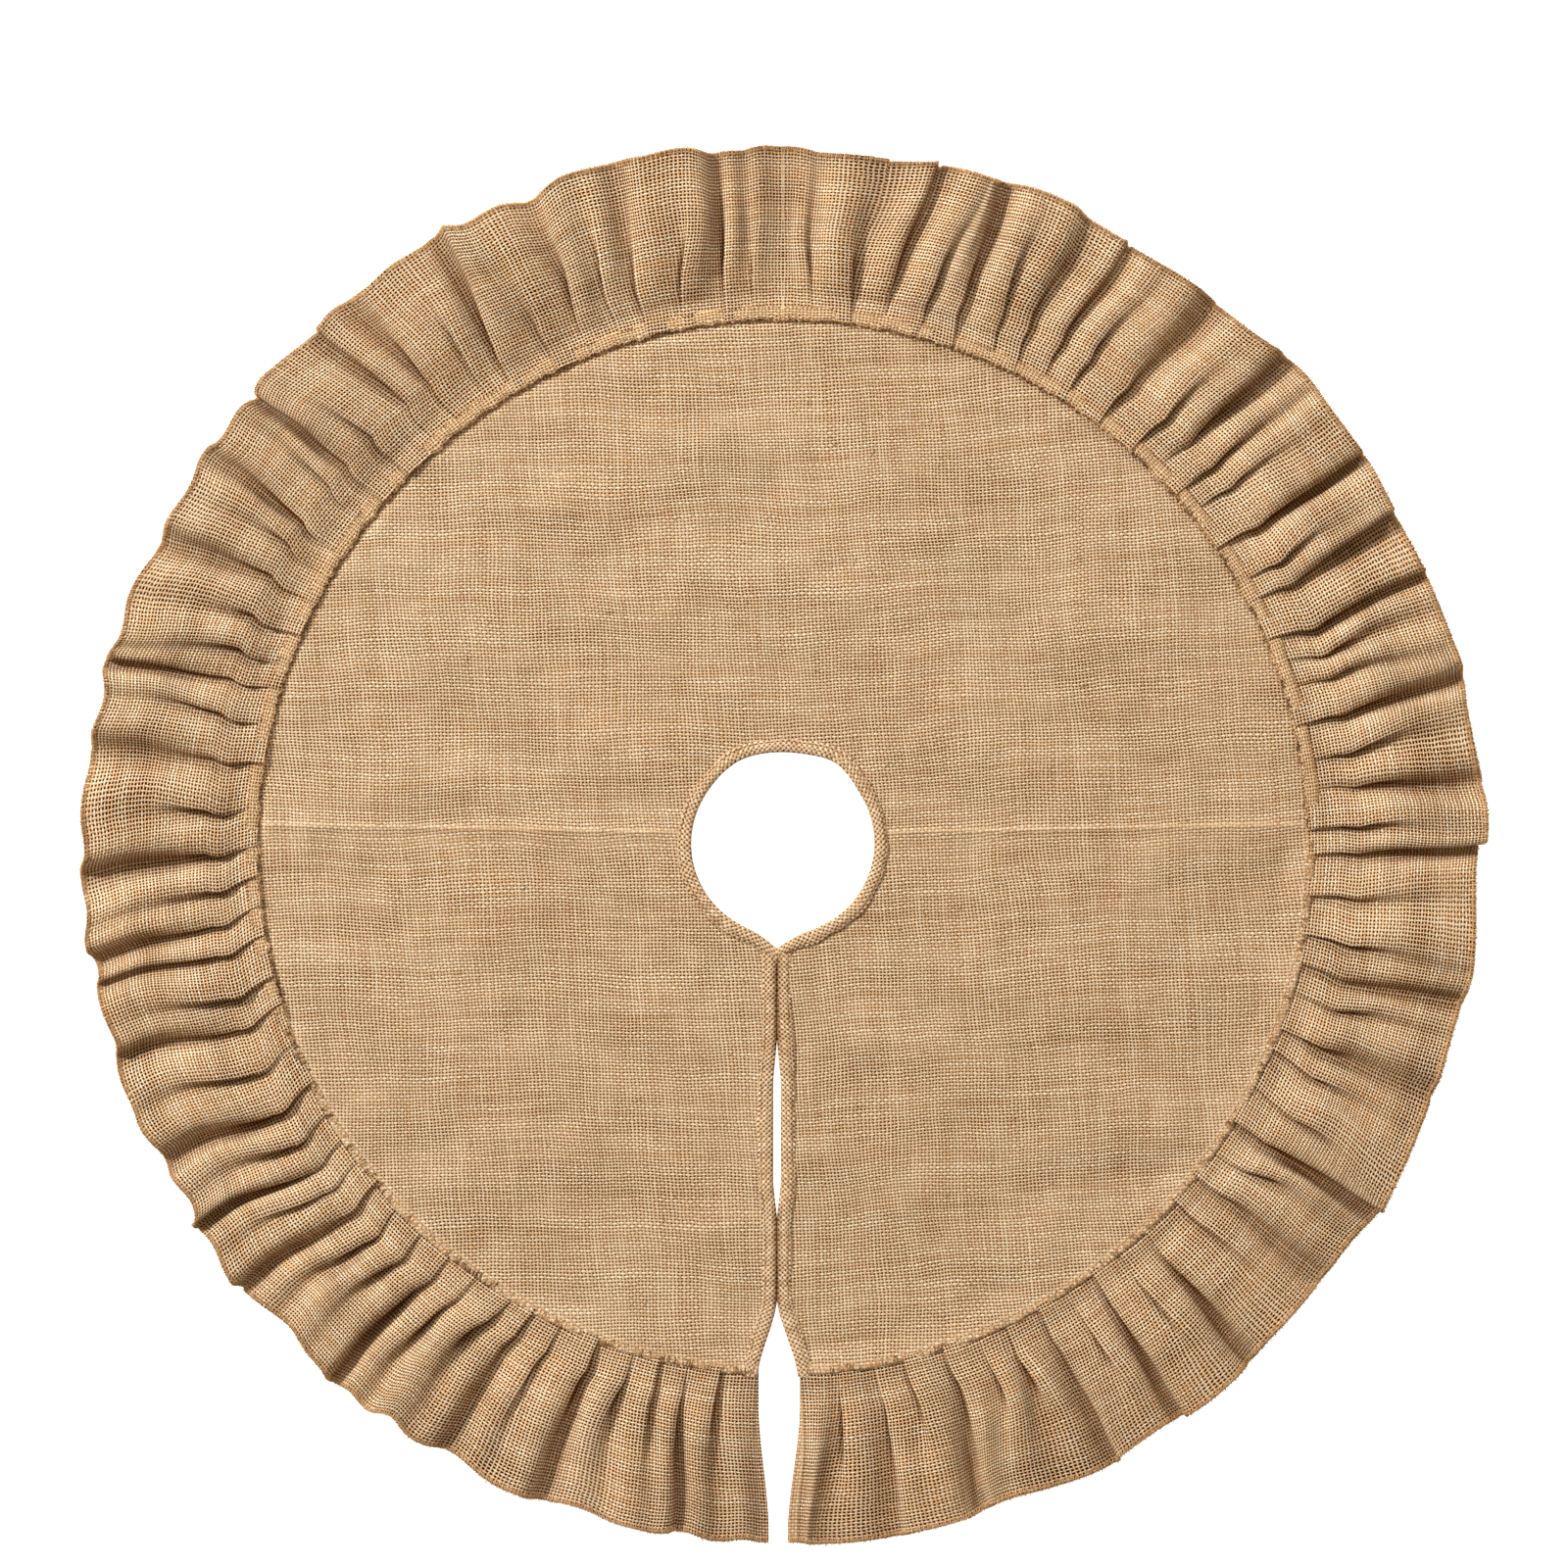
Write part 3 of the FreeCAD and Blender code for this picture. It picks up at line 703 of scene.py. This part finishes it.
# Each row of the band: share of its width, height, and painted shade; the inner edge, where the band steps
# down onto the panel, gets a line of painted shade.
allowance_profile = (
    (0.00, 0.0014, 0.75), (0.01, 0.0026, 0.45), (0.07, 0.0034, 0.06), (0.22, 0.0038, 0.0),
    (0.50, 0.0040, 0.0), (0.80, 0.0040, 0.0), (0.96, 0.0036, 0.0), (1.00, 0.0028, 0.0),
)
pleat_foot_row = 5
for name, side in halves.items():
    turn = np.linspace(math.pi / 2, math.asin(allowance_end[side] / seam_radius), 560)
    bump = Waves(61 + side, 0.012, 0.045)(turn * seam_radius)
    ragged = Waves(63 + side, 0.005, 0.03, 14)(turn * seam_radius)
    thin = smooth(turn, turn[-1], turn[-1] + 0.05)
    pleat_foot = ruffle_grids[name][pleat_foot_row]
    pleat_turn = np.arctan2(pleat_foot[:, 1], side * pleat_foot[:, 0])
    order = np.argsort(pleat_turn)
    pleat_painted_shade = np.interp(turn, pleat_turn[order], ruffle_painted_shade[name][pleat_foot_row][order])
    rows = []
    painted_shade_rows = []
    for share, up, painted_shade in allowance_profile:
        inner = ruffle_start - 0.0012 + 0.0010 * ragged * (share < 0.5)
        radius = inner + share * (allowance_width + 0.0004 * bump)
        height = 0.0014 + (up - 0.0014) * thin + 0.00014 * bump * (share > 0.05) - 0.0007 * pleat_painted_shade * share
        rows.append(np.stack([radius * np.cos(turn) * side, radius * np.sin(turn), height], axis=-1))
        # Painted shade of the pleats' creases beneath the band, shown through it; the inner-edge shade is
        # made ragged.
        pleat_shade_through = 0.7 * pleat_painted_shade * smooth(share, 0.0, 0.6)
        painted_shade_rows.append(np.clip(painted_shade * (0.8 + 0.5 * ragged) + pleat_shade_through, 0.0, 1.0))
    across = np.array([share for share, _, _ in allowance_profile])[:, None] * 0.0145
    cloth = np.stack(np.broadcast_arrays((turn * seam_radius)[None, :], across), axis=-1)
    points = np.stack(rows)
    painted_shade = np.stack(painted_shade_rows)
    band = cloth_piece("seam_allowance_" + name, points, cloth, allowance_cloth, side < 0, crevice=painted_shade)
    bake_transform(band)
    ruffle_pieces[name].append(band)

# ----------------
# Neck binding.
# A bias strip of burlap folded over the raw edge of the trunk hole, with its outer edge turned in. It
# comes down to a point at the slit, where its two ends are cut to meet.
# ----------------
# Its hole colour is painted shade for the gaps between yarns.
binding_cloth = burlap(
    "bias_binding_burlap", tone(255, 240, 214), tone(206, 165, 120), tone(104, 62, 30), 0.83, 0.003, 0.0033
)
binding_width = 0.0112
binding_top = 0.00400
binding_stitch_share = 0.80
# Each row: share of the width, height, and painted shade; the fold, the stitch groove and the underside of
# the turned-in outer edge are painted shaded.
binding_section = (
    (1.00, 0.0005, 0.0), (0.60, 0.0005, 0.0), (0.12, 0.0005, 0.5), (0.03, 0.0010, 0.8), (0.00, 0.0020, 0.6),
    (0.03, 0.0030, 0.3), (0.12, 0.0036, 0.0), (0.38, 0.0040, 0.0), (0.64, 0.0039, 0.0), (0.78, 0.0036, 0.05),
    (0.82, 0.0033, 0.40), (0.86, 0.0035, 0.1), (0.93, 0.0034, 0.0), (1.00, 0.0029, 0.30), (0.98, 0.0026, 0.7),
    (0.86, 0.0026, 0.7),
)


def folded_strip(edge, inward, width, seed):
    """A folded strip: its fold follows the edge, and both its layers reach inward over the cloth.

    The section's three numbers are the share of the width, the height and how much painted shade the cloth
    gets there.
    """
    run = np.concatenate([[0.0], np.cumsum(np.hypot(*np.diff(edge, axis=0).T))])
    uneven = 1.0 + 0.05 * Waves(seed, 0.015, 0.08)(run)
    puffed = 0.00022 * Waves(seed + 1, 0.010, 0.04)(run)
    rows = []
    girth = [0.0]
    last_share, last_up, _ = binding_section[0]
    for share, up, _ in binding_section:
        girth.append(girth[-1] + math.hypot((share - last_share) * width, up - last_up))
        last_share, last_up = share, up
        place = edge + inward * (share * width * uneven)[:, None]
        rows.append(np.column_stack([place, up + puffed * (up > 0.0028)]))
    across = np.array(girth[1:])[:, None]
    cloth = np.stack([run[None, :] + across, run[None, :] - across], axis=-1) * math.sqrt(0.5)
    painted_shade = np.array([depth for _, _, depth in binding_section])[:, None]
    painted_shade = painted_shade * np.clip(0.8 + 0.25 * Waves(seed + 2, 0.004, 0.02)(run), 0.3, 1.1)
    return np.stack(rows), cloth, painted_shade


def outward_normals(edge, side):
    """Unit vectors square to an edge that runs from the slit round one side, away from the hole."""
    ahead = np.gradient(edge, axis=0)
    ahead = ahead / np.hypot(*ahead.T)[:, None]
    return np.column_stack([ahead[:, 1], -ahead[:, 0]]) * side


neck_lines = {}
for name, side in halves.items():
    start = math.atan2(neck_tip, slit_line + side * 0.0001)
    finish = math.pi / 2 if side > 0 else -3.0 * math.pi / 2
    turn = start + (finish - start) * np.linspace(0.0, 1.0, 170) ** 1.25
    edge = neck_edge(turn)[:, None] * np.column_stack([np.cos(turn), np.sin(turn)])
    inward = outward_normals(edge, side)
    mitre = (1.0 - smooth(np.abs(turn - start), 0.0, 0.34))[:, None]
    inward = inward * (1.0 - mitre) + np.array([[0.0, -1.0]]) * mitre
    inward[-1] = (0.0, 1.0)
    edge[-1, 0] = 0.0
    points, cloth, painted_shade = folded_strip(edge, inward, binding_width, 71 + side)
    neck_lines[name] = (edge, inward)
    binding = cloth_piece("neck_edging_" + name, points, cloth, binding_cloth, side < 0, crevice=painted_shade)
    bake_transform(binding)
    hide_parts("neck_binding_back", "neck_binding_" + name)
    panel_pieces[name].append(binding)

# ----------------
# Slit bindings.
# The same bias strip down each edge of the slit, from under the neck binding to the panel's rim, where
# its end is folded in. The two edges touch, stand open a little, touch again, and part at the rim.
# ----------------
slit_binding_width = 0.0124
slit_binding_rise = 0.0007
slit_lines = {}
for name, side in halves.items():
    radius = np.linspace(0.0955, 0.4655, 150)
    across = slit_edge(radius, side)
    edge = np.column_stack([across, -np.sqrt(radius ** 2 - across ** 2)])
    inward = -outward_normals(edge, side)
    last = smooth(radius, 0.4585, 0.4655)
    points, cloth, painted_shade = folded_strip(edge, inward, slit_binding_width, 81 + side)
    # Painted shade: where the two slit edges touch, a dark line is painted along the fold of each binding,
    # for the shade in the closed gap.
    touching = 1.0 - smooth(slit_half_gap(radius, side), 0.0004, 0.0020)
    painted_shade[4:6] = np.maximum(painted_shade[4:6], 0.95 * touching)
    painted_shade[6] = 0.6 * touching
    points[:, :, 2] += slit_binding_rise * smooth(radius, 0.440, 0.456)
    points[:, :, 2] -= (points[:, :, 2] - 0.0034) * 0.5 * last ** 2
    slit_lines[name] = (edge, inward, radius)
    binding = cloth_piece("slit_edging_" + name, points, cloth, binding_cloth, side > 0, crevice=painted_shade)
    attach(binding, name + "_flap")
    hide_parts("slit_binding_" + name)
    panel_pieces[name].append(binding)

# ----------------
# Overlocked rim.
# The ruffle's outer edge is trimmed and overlocked: loops of soft jute-coloured thread wrap the edge
# close together, slightly uneven, with a chain along the very edge where they are locked.
# ----------------
def thread_material(name, light, dark, scale):
    """Spun thread: twisted plies in two tones, rough, with a little fuzz."""
    material = bpy.data.materials.new(name)
    material.use_nodes = True
    tree = material.node_tree
    shader = tree.nodes["Principled BSDF"]
    place = wire(tree, "TexCoord", {}, output=3)
    twist = wire(tree, "TexNoise", {"Vector": place, "Scale": scale, "Detail": 3.0})
    patch = wire(tree, "TexNoise", {"Vector": place, "Scale": 28.0, "Detail": 1.0})
    mixed = maths(tree, "ADD", maths(tree, "MULTIPLY", twist, 0.65), maths(tree, "MULTIPLY", patch, 0.35))
    tone_mix = fade(tree, mixed, 0.36, 0.64)
    tree.links.new(blend_colour(tree, tone_mix, dark, light), shader.inputs["Base Color"])
    tree.links.new(maths(tree, "MULTIPLY_ADD", twist, 0.2, 0.7), shader.inputs["Roughness"])
    relief = wire(tree, "Bump", {"Height": twist, "Strength": 0.6, "Distance": 0.0004})
    tree.links.new(relief, shader.inputs["Normal"])
    shader.inputs["Specular IOR Level"].default_value = 0.3
    return material


def thread_piece(name, paths, radius, material, closed):
    """Many short threads as one mesh: each path (count, points, 3) becomes a four-sided tube."""
    count, stops = paths.shape[:2]
    if closed:
        ahead = np.roll(paths, -1, axis=1) - np.roll(paths, 1, axis=1)
    else:
        ahead = np.gradient(paths, axis=1)
    ahead = ahead / np.maximum(np.linalg.norm(ahead, axis=2, keepdims=True), 1e-9)
    around = np.cross(paths[:, -1] - paths[:, 0], paths[:, stops // 2] - paths[:, 0])
    flat = np.linalg.norm(around, axis=1) < 1e-9
    around[flat] = np.cross(paths[flat, -1] - paths[flat, 0], (0.0, 0.0, 1.0))
    around = around / np.linalg.norm(around, axis=1, keepdims=True)
    side_way = np.broadcast_to(around[:, None, :], paths.shape)
    other_way = np.cross(ahead, side_way)
    taper = np.ones(stops) if closed else np.array([0.35] + [1.0] * (stops - 2) + [0.35])
    size = radius * taper[None, :, None]
    ring_ways = (side_way, other_way, -side_way, -other_way)
    points = np.stack([paths + size * way for way in ring_ways], axis=2)
    index = np.arange(count * stops * 4).reshape(count, stops, 4)
    following = np.roll(index, -1, axis=1) if closed else index[:, 1:]
    leading = index if closed else index[:, :-1]
    faces = []
    for k in range(4):
        after = (k + 1) % 4
        corners = [leading[..., k], leading[..., after], following[..., after], following[..., k]]
        faces.append(np.stack(corners, axis=-1).reshape(-1, 4))
    if not closed:
        faces.append(index[:, 0, ::-1])
        faces.append(index[:, -1])
    piece = new_piece(name, points, np.vstack(faces))
    bpy.ops.object.mode_set(mode="EDIT")
    bpy.ops.mesh.select_all(action="SELECT")
    bpy.ops.mesh.normals_make_consistent(inside=False)
    bpy.ops.object.mode_set(mode="OBJECT")
    piece.data.materials.append(material)
    return piece


def along_curve(curve, spacing, start=0.0, stop=0.0):
    """Evenly spaced places along a line of points: their numbers as fractions of the line's own points."""
    run = np.concatenate([[0.0], np.cumsum(np.linalg.norm(np.diff(curve, axis=0), axis=1))])
    places = np.arange(start, run[-1] - stop, spacing)
    return np.interp(places, run, np.arange(len(curve)))


def pick(values, number):
    """Values of a line of points at fractional point numbers."""
    low = np.clip(np.floor(number).astype(int), 0, len(values) - 2)
    share = (number - low)[:, None]
    return values[low] * (1.0 - share) + values[low + 1] * share


def unit(vectors):
    return vectors / np.maximum(np.linalg.norm(vectors, axis=-1, keepdims=True), 1e-9)


overlock_thread = thread_material("overlock_thread", tone(232, 193, 146), tone(178, 134, 88), 900.0)
lowest_thread = 0.0005
for name, side in halves.items():
    grid = ruffle_grids[name]
    draw = np.random.default_rng(90 + side)
    rim = grid[-1]
    inset = unit(grid[-3] - rim)
    run_way = unit(np.gradient(rim, axis=0))
    face = unit(np.cross(run_way, inset)) * side
    number = along_curve(rim, 0.0017, 0.001, 0.001)
    number = np.clip(number + draw.normal(0.0, 0.12, len(number)), 0, len(rim) - 1.001)
    foot = pick(rim, number)
    inward = unit(pick(inset, number))
    upward = unit(pick(face, number))
    ahead = unit(pick(run_way, number))
    depth = draw.uniform(0.0034, 0.0054, len(number))[:, None]
    slip = draw.normal(0.0010, 0.0006, len(number))[:, None]
    thick = cloth_thickness / 2 + 0.0004
    loop = [
        foot + inward * depth + upward * thick * 0.6 + ahead * slip,
        foot + inward * depth * 0.5 + upward * thick * 1.25 + ahead * slip * 0.5,
        foot + inward * 0.0002 + upward * thick * 1.15,
        foot - inward * 0.0009,
        foot + inward * 0.0002 - upward * thick * 1.15,
        foot + inward * depth * 0.5 - upward * thick * 1.25 - ahead * slip * 0.5,
        foot + inward * depth - upward * thick * 0.6 - ahead * slip,
    ]
    loop = np.stack(loop, axis=1)
    loop[:, :, 2] = np.maximum(loop[:, :, 2], lowest_thread)
    overlock = thread_piece("rim_overlocking_" + name, loop, 0.00042, overlock_thread, True)
    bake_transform(overlock)
    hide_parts("rim_overlock_back_" + name, "rim_overlock_front_" + name)
    ruffle_pieces[name].append(overlock)

# ----------------
# Overlocking of the seam.
# The same loops hold the raw inner edge of the allowance. They are coarse, crowded and untidy, and some
# have pulled loose into little curls. In front the allowance is folded under the panel's edge, and only
# ends of thread that were caught in the fold show along it.
# ----------------
# Its dark tone is partly the thread's own brown and partly painted shade for the dark line along the
# allowance's inner edge.
raw_edge_thread = thread_material("raw_edge_thread", tone(222, 176, 124), tone(92, 54, 22), 180.0)
upward = np.array([[0.0, 0.0, 1.0]])


def round_ways(turn, side):
    """Unit vectors outwards from the trunk axis and onwards round it, at turns on one side."""
    level = np.zeros(len(turn))
    outward = np.column_stack([np.cos(turn) * side, np.sin(turn), level])
    return outward, np.column_stack([-np.sin(turn) * side, np.cos(turn), level])


for name, side in halves.items():
    draw = np.random.default_rng(100 + side)
    count = 330 if side > 0 else 410
    last_turn = math.asin((0.016 if side > 0 else -0.150) / seam_radius)
    turn = np.linspace(math.pi / 2 - 0.002, last_turn, count) + draw.normal(0, 0.0008, count)
    foot_radius = ruffle_start - 0.0016 + draw.normal(0.0, 0.0006, count)
    outward, ahead = round_ways(turn, side)
    foot = outward * foot_radius[:, None]
    depth = draw.uniform(0.0012, 0.0032, count)[:, None]
    slip = draw.normal(0.0008, 0.0012, count)[:, None]
    loose = draw.uniform(0.0, 1.0, count)[:, None] ** 4 * 0.0024
    crown = 0.0039 + draw.normal(0.0, 0.0002, count)[:, None]
    loop = [
        foot + outward * depth + ahead * slip + upward * (crown - 0.0002),
        foot + outward * depth * 0.55 + ahead * slip * 0.6 + upward * (crown + 0.0004),
        foot + outward * 0.0006 + upward * (crown - 0.0002),
        foot - outward * (0.0004 + loose) + upward * (0.0028 + 0.0008 * loose),
        foot - outward * (0.0003 + loose * 0.5) + upward * 0.0020,
        foot + outward * 0.0006 + upward * 0.0018,
        foot + outward * depth * 0.5 + upward * 0.0026,
    ]
    serging = thread_piece("seam_overlocking_" + name, np.stack(loop, axis=1), 0.00036, raw_edge_thread, True)
    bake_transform(serging)
    ruffle_pieces[name].append(serging)
    count = 380 if side > 0 else 300
    turn = np.linspace(last_turn - 0.03, 0.050 - math.pi / 2, count) + draw.normal(0, 0.0012, count)
    outward, ahead = round_ways(turn, side)
    foot = outward * (seam_radius + 0.0010 + 0.0005 * seam_pucker(turn * seam_radius)[:, None])
    depth = draw.uniform(0.0015, 0.0055, count)[:, None]
    slip = draw.normal(0.0, 0.0016, count)[:, None]
    loose = draw.uniform(0.0, 1.0, count)[:, None] ** 3 * 0.0022
    loop = [
        foot - outward * depth + ahead * slip + upward * 0.0047,
        foot - outward * depth * 0.5 + ahead * slip * 1.5 + upward * 0.0050,
        foot + outward * 0.0006 + ahead * slip + upward * 0.0048,
        foot + outward * (0.0016 + loose) + upward * 0.0039,
        foot + outward * (0.0014 + loose * 0.6) - ahead * 0.0006 + upward * 0.0033,
        foot + outward * 0.0004 - ahead * 0.0004 + upward * 0.0043,
        foot - outward * depth * 0.6 + upward * 0.0045,
    ]
    loop = np.stack(loop, axis=1)
    fringe = thread_piece("folded_edge_threads_" + name, loop, 0.00030, raw_edge_thread, True)
    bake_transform(fringe)
    panel_pieces[name].append(fringe)

# ----------------
# Sewing threads.
# Lockstitching in brown sewing thread: one row on the neck binding, one on each slit binding, and one
# that holds the ruffle to the panel. Each stitch is a short straight thread that dips into the cloth.
# ----------------
sewing_thread = thread_material("sewing_thread", tone(170, 128, 84), tone(120, 84, 50), 1500.0)


def stitches(name, line, spacing=0.0036):
    """A row of stitches along a line of points that lies on the cloth's surface."""
    draw = np.random.default_rng(3)
    number = along_curve(line, spacing, spacing / 2, spacing / 2)
    half = spacing * 0.40 * draw.uniform(0.9, 1.1, len(number))[:, None]
    middle = pick(line, number)
    ahead = unit(pick(np.gradient(line, axis=0), number))
    path = [
        middle - ahead * half - upward * 0.00045,
        middle - ahead * half * 0.6 + upward * 0.00008,
        middle + ahead * half * 0.6 + upward * 0.00008,
        middle + ahead * half - upward * 0.00045,
    ]
    piece = thread_piece(name, np.stack(path, axis=1), 0.00032, sewing_thread, False)
    return piece


for name, side in halves.items():
    edge, inward = neck_lines[name]
    place = edge + inward * binding_stitch_share * binding_width
    level = np.full(len(place), binding_top)
    neck_row = stitches("neck_stitching_" + name, np.column_stack([place, level]))
    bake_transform(neck_row)
    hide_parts("neck_thread_back", "neck_thread_" + name)
    edge, inward, radius = slit_lines[name]
    place = edge + inward * binding_stitch_share * slit_binding_width
    level = binding_top + slit_binding_rise * smooth(radius, 0.440, 0.456)
    slit_row = stitches("slit_stitching_" + name, np.column_stack([place, level])[:-5])
    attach(slit_row, name + "_flap")
    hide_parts("slit_thread_" + name)
    turn = np.linspace(-math.pi / 2 + side * 0.085, -math.pi / 2 + side * math.pi, 500)
    height = np.sin(turn) * seam_radius
    behind = raw_edge_up(side, height)
    radius = seam_radius - 0.0040 + 0.0115 * behind
    level = panel_height(radius * np.cos(turn), radius * np.sin(turn)) + cloth_thickness / 2
    level = level * (1.0 - behind) + 0.0044 * behind
    seam_line = np.column_stack([radius * np.cos(turn), radius * np.sin(turn), level])
    seam_row = stitches("seam_stitching_" + name, seam_line, 0.0042)
    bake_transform(seam_row)
    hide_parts("ruffle_seam_thread_back", "ruffle_seam_thread_" + name)
    panel_pieces[name] += [neck_row, slit_row]
    ruffle_pieces[name].append(seam_row)

# ----------------
# Loose fibres.
# Jute sheds: short curved fibres, darker than the cloth, lie on the panel, and cut yarn ends stand out
# all along the overlocked rim. With these on, each panel half and each ruffle strip is whole.
# ----------------
dark_fibre = thread_material("dark_fibre", tone(150, 108, 66), tone(70, 42, 20), 120.0)
for name, side in halves.items():
    draw = np.random.default_rng(120 + side)
    count = 70
    radius = np.sqrt(draw.uniform(0.0110, 0.185, count))
    turn = -math.pi / 2 + side * draw.uniform(0.12, math.pi - 0.03, count)
    heading = draw.uniform(0.0, 2.0 * math.pi, count)
    length = draw.uniform(0.0025, 0.0090, count)
    bend = draw.uniform(-1.2, 1.2, count)
    middle = np.column_stack([radius * np.cos(turn), radius * np.sin(turn)])
    stops = []
    for share in np.linspace(-1.0, 1.0, 6):
        way = heading + bend * share / 2.0
        place = middle + (share * length / 2.0)[:, None] * np.column_stack([np.cos(way), np.sin(way)])
        level = panel_height(place[:, 0], place[:, 1]) + cloth_thickness / 2
        stops.append(np.column_stack([place, level + 0.0002 + 0.0003 * (1.0 - share ** 2)]))
    fibres = thread_piece("stray_fibres_" + name, np.stack(stops, axis=1), 0.00016, dark_fibre, False)
    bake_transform(fibres)
    rim = ruffle_grids[name][-1]
    outward = unit(rim - ruffle_grids[name][-3])
    run_way = unit(np.gradient(rim, axis=0))
    number = along_curve(rim, 0.0013, 0.001, 0.001)
    number = np.clip(number + draw.normal(0.0, 0.2, len(number)), 0, len(rim) - 1.001)
    foot = pick(rim, number)
    way = unit(pick(outward, number) + pick(run_way, number) * draw.normal(0.0, 0.45, len(number))[:, None])
    reach = (0.0006 + 0.0030 * draw.uniform(0.0, 1.0, len(number)) ** 3)[:, None]
    tip = foot + way * reach - upward * reach * 0.3
    ends = np.stack([foot - way * 0.002, foot + way * reach * 0.4, tip], axis=1)
    ends[:, :, 2] = np.maximum(ends[:, :, 2], 0.0004)
    yarn_ends = thread_piece("rim_yarn_ends_" + name, ends, 0.00030, overlock_thread, False)
    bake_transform(yarn_ends)
    panel_pieces[name].append(fibres)
    ruffle_pieces[name].append(yarn_ends)
